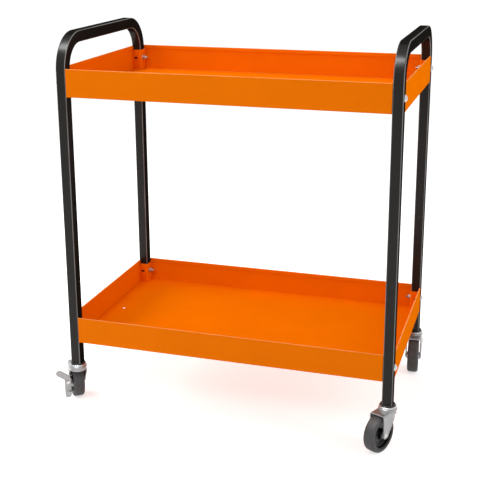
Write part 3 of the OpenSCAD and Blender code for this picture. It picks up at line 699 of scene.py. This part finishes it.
# Wheels
# A black moulded core with hub, web and rim, and a grey rubber tyre moulded on to it, its tread
# nearly flat between round shoulders.
WHEEL_R, TYRE_HALF, SHOULDER, SHOULDER_RINGS = 40, 12.5, 5, 7
CORE_R, HUB_R, BORE_R = 31, 10, 6.12
core_black = moulded("wheel_plastic", (0.0035, 0.0035, 0.0035), 0.27, 0.28, 700, 0.08)
grey_rubber = moulded("grey_rubber", (0.068, 0.068, 0.069), 0.58, 0.3, 500, 0.25)
axle_places = {}
for corner in CASTORS:
    along_axle = Matrix.Rotation(math.radians(90), 4, "Y")
    axle_places[corner] = castor_places[corner] @ Matrix.Translation(AXLE) @ along_axle
    work = bmesh.new()
    half = [(BORE_R, 11.75), (HUB_R - 0.6, 11.75), (HUB_R, 11.2), (HUB_R + 0.4, 5),
            (HUB_R + 2, 3.4), (HUB_R + 5, 3), (23, 3), (26.4, 3.5), (28, 5.2), (28.5, 8),
            (28.8, 10.8), (29.4, 11.3), (CORE_R, 11.3)]
    turned(work, half + [(r, -z) for r, z in half[::-1]], 96, axle_places[corner])
    add_piece(corner + "_core", work, core_black, corner + "_wheel",
              corner + "_wheel_core", 50)
    work = bmesh.new()
    half = [(CORE_R, TYRE_HALF - 0.7), (CORE_R + 0.7, TYRE_HALF), (CORE_R + 1.6, TYRE_HALF),
            (CORE_R + 2, TYRE_HALF - 0.35), (CORE_R + 2.4, TYRE_HALF),
            (WHEEL_R - SHOULDER, TYRE_HALF)]
    for k in range(1, SHOULDER_RINGS + 1):
        a = k * math.pi / (2 * SHOULDER_RINGS)
        half.append((WHEEL_R - SHOULDER + (SHOULDER - 0.3) * math.sin(a),
                     TYRE_HALF - SHOULDER + SHOULDER * math.cos(a)))
    half += [(WHEEL_R - 0.12, 4), (WHEEL_R - 0.02, 1), (WHEEL_R, 0.3)]
    turned(work, half + [(r, -z) for r, z in half[::-1]], 128, axle_places[corner])
    add_piece(corner + "_tread_tyre", work, grey_rubber, corner + "_wheel",
              corner + "_tyre", 50)


# Axles
# A steel rivet through the fork, its ends peened over into domes, a sleeve round it that the fork
# clamps, and a ring each side that keeps the hub in the middle.
AXLE_R, HEAD_R, HEAD_H, SLEEVE_R, GAP_HALF, RING_L, RING_T = 4, 5.5, 2.2, 6.06, 15.25, 3.2, 2
for corner in CASTORS:
    work = bmesh.new()
    half = [(AXLE_R, 10), (AXLE_R, FORK_HALF), (HEAD_R - 0.3, FORK_HALF),
            (HEAD_R, FORK_HALF + 0.4), (5.2, FORK_HALF + 0.9), (4.2, FORK_HALF + 1.6),
            (2.8, FORK_HALF + 2.05), (1.2, FORK_HALF + HEAD_H), (0, FORK_HALF + HEAD_H)]
    turned(work, [(r, -z) for r, z in half[::-1]] + half, 40, axle_places[corner])
    add_piece(corner + "_axle", work, zinc, corner + "_castor",
              corner + "_axle_rivet", 40)
    work = bmesh.new()
    turned(work, [(AXLE_R + 0.06, -GAP_HALF), (SLEEVE_R, -GAP_HALF), (SLEEVE_R, GAP_HALF),
                  (AXLE_R + 0.06, GAP_HALF)], 40, axle_places[corner])
    add_piece(corner + "_sleeve", work, zinc, corner + "_castor",
              corner + "_axle_sleeve", 40)
    work = bmesh.new()
    ring_r, ring_in = SLEEVE_R + RING_T, GAP_HALF - RING_L
    for s in (-1, 1):
        ring = [(SLEEVE_R, GAP_HALF), (SLEEVE_R + 1.7, GAP_HALF), (ring_r, GAP_HALF - 0.3),
                (ring_r, ring_in + 0.3), (SLEEVE_R + 1.7, ring_in), (SLEEVE_R, ring_in)]
        turned(work, [(r, s * z) for r, z in ring], 40, axle_places[corner])
    add_piece(corner + "_spacer_rings", work, zinc, corner + "_castor",
              corner + "_hub_spacers", 40)


# Brakes
# At the left end each castor has a two-armed lever of 3 mm steel on a small angle bracket. A foot
# on the upper arm swings the lower arm's lug on to the tyre.
BRAKED = ("front_left", "back_left")
LEVER_T, LEVER_R, LEVER_Y, LEVER_BEND, ELBOW_Z, PIVOT_X = 3, 7.3, 3, 5, 56, -24.75
ARM_DOWN, ARM_OUT, ARM_UP, BORDER, DISH = 41, 19, 14, 2.1, 0.5
LUG_X, LUG_Z, LUG_W, LUG_T = -16.3, 21, 6.5, 3
for corner in BRAKED:
    work = bmesh.new()
    foot_z = ELBOW_Z - ARM_DOWN - LEVER_R
    row = [work.edges.new([work.verts.new((PIVOT_X - LEVER_R, 0, foot_z)),
                           work.verts.new((PIVOT_X + LEVER_R, 0, foot_z))])]
    bend = math.degrees(math.atan2(ARM_OUT, ARM_UP))
    bend_run = (LEVER_R + LEVER_BEND) * math.tan(math.radians(bend / 2))
    row = draw_out(work, row, (0, 0, ARM_DOWN + LEVER_R - bend_run))
    bend_middle = (PIVOT_X - LEVER_R - LEVER_BEND, 0, ELBOW_Z - bend_run)
    row = fold(work, row, bend_middle, (0, 1, 0), -bend, 8)
    arm = Vector((-ARM_OUT, 0, ARM_UP))
    row = draw_out(work, row, arm.normalized() * (arm.length + LEVER_R - bend_run))
    tips = [v for v in work.verts if len(v.link_edges) == 2]
    round_off(work, tips, LEVER_R * 0.98, 8, "VERTICES")
    bmesh.ops.remove_doubles(work, verts=work.verts, dist=0.01)
    bmesh.ops.translate(work, vec=(0, LEVER_Y, 0), verts=work.verts)
    face_out(work, (PIVOT_X, LEVER_Y, 30), (0, -1, 0))
    front = work.faces[:]
    bmesh.ops.inset_region(work, faces=front, thickness=BORDER, depth=0, use_even_offset=True)
    dished = {v for f in front if f.is_valid for v in f.verts}
    bmesh.ops.solidify(work, geom=work.faces[:], thickness=LEVER_T)
    bmesh.ops.translate(work, vec=(0, DISH, 0), verts=[v for v in dished if v.is_valid])
    soften(work, 0.6, 3, 60)
    lug = bmesh.new()
    bmesh.ops.create_cube(lug, size=1)
    bmesh.ops.scale(lug, vec=(LUG_X - PIVOT_X, LUG_W, LUG_T), verts=lug.verts)
    round_off(lug, lug.edges[:], 0.5, 2)
    lug_middle = ((LUG_X + PIVOT_X) / 2, LEVER_Y + LEVER_T / 2 - LUG_W / 2, LUG_Z + LUG_T / 2)
    join(work, lug, Matrix.Translation(lug_middle))
    bmesh.ops.transform(work, matrix=castor_places[corner], verts=work.verts)
    add_piece(corner + "_brake_pedal", work, fork_zinc, corner + "_brake",
              corner + "_brake_lever", 45)
    dress(corner + "_brake_bracket", zinc)
    dress(corner + "_brake_rivet", zinc)
